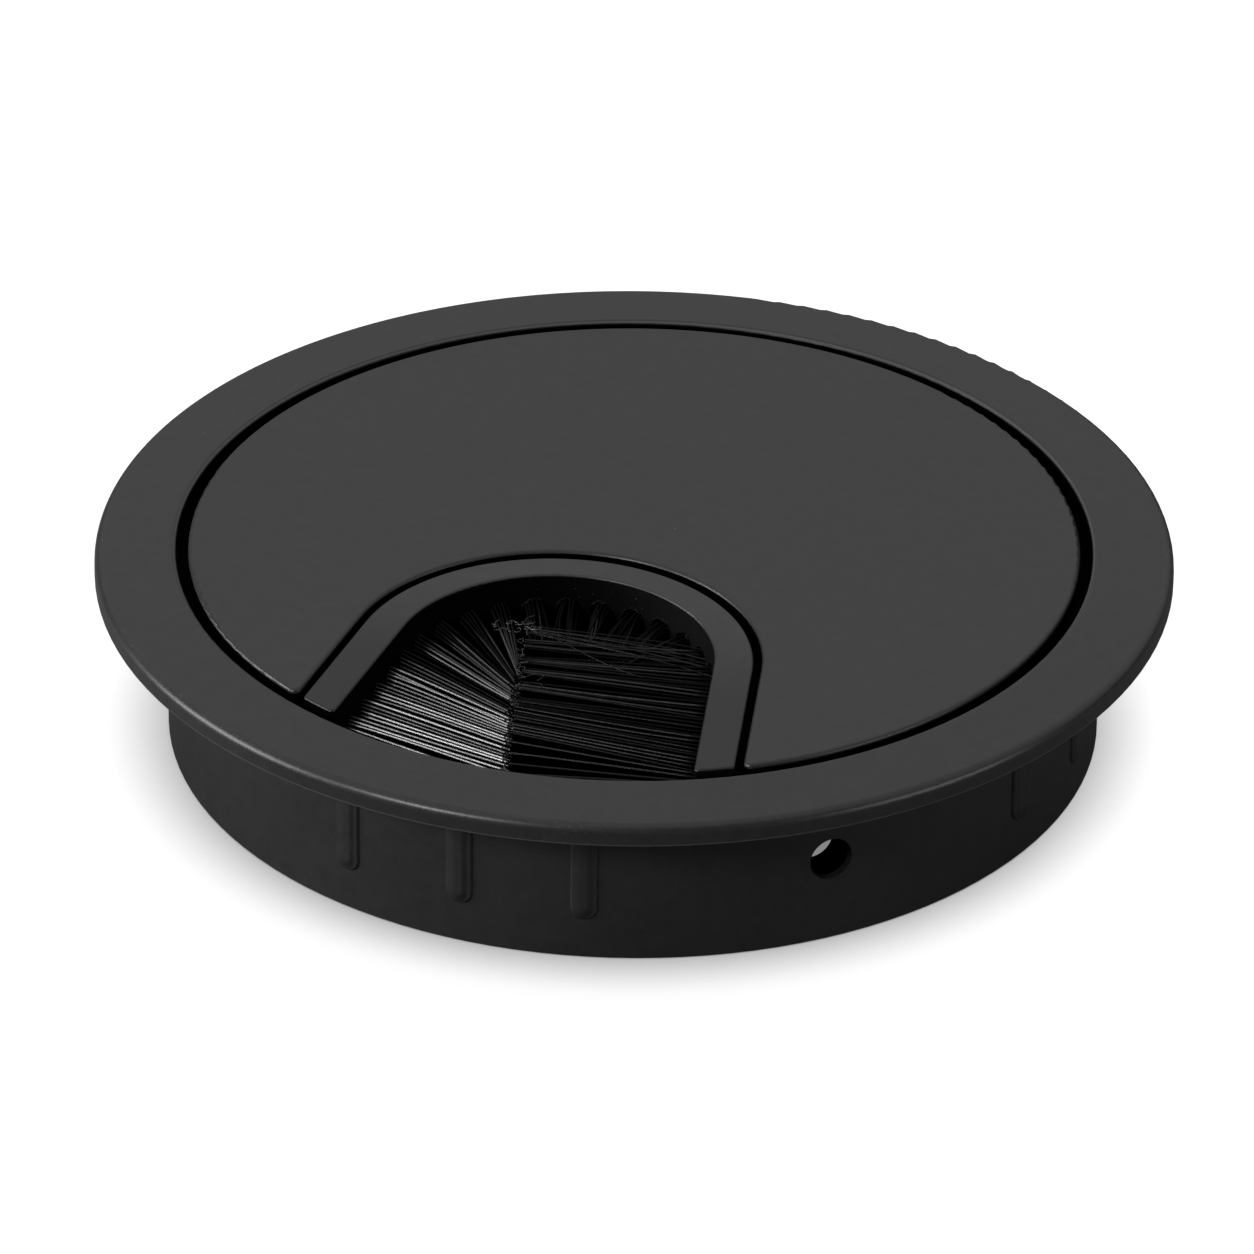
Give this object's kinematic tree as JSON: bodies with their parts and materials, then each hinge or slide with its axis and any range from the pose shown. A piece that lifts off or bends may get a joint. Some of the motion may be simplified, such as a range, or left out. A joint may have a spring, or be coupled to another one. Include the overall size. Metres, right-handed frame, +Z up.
{
  "type": "cable grommet",
  "caption": "Round desk cable grommet: flanged sleeve, drop-in lid with a U-shaped opening, and a brush of bristle tufts that closes around cables.",
  "frame": {"origin": "centre of the sleeve's bottom edge, where the grommet stands on a surface", "axes": "+Z up through the flange and lid, -Y towards the mouth of the brush opening, +X to the right of the mouth seen from the front"},
  "size_m": [0.092, 0.092, 0.017],
  "materials": {
    "ring_plastic": "fine matte moulded",
    "lid_plastic": "fine matte moulded",
    "frame_plastic": "fine matte moulded",
    "bristle": "satin drawn filament"
  },
  "bodies": {
    "root": {"base_ring": "ring_plastic", "lid": "lid_plastic", "brush_frame": "frame_plastic", "tuft_01": "bristle", "tuft_02": "bristle", "tuft_03": "bristle", "tuft_04": "bristle", "tuft_05": "bristle", "tuft_06": "bristle", "tuft_07": "bristle", "tuft_08": "bristle", "tuft_09": "bristle", "tuft_10": "bristle", "tuft_11": "bristle", "tuft_12": "bristle", "tuft_13": "bristle", "tuft_14": "bristle", "tuft_15": "bristle", "tuft_16": "bristle", "tuft_17": "bristle", "tuft_18": "bristle", "tuft_19": "bristle", "tuft_20": "bristle", "tuft_21": "bristle", "tuft_22": "bristle", "tuft_23": "bristle"}
  },
  "joints": []
}
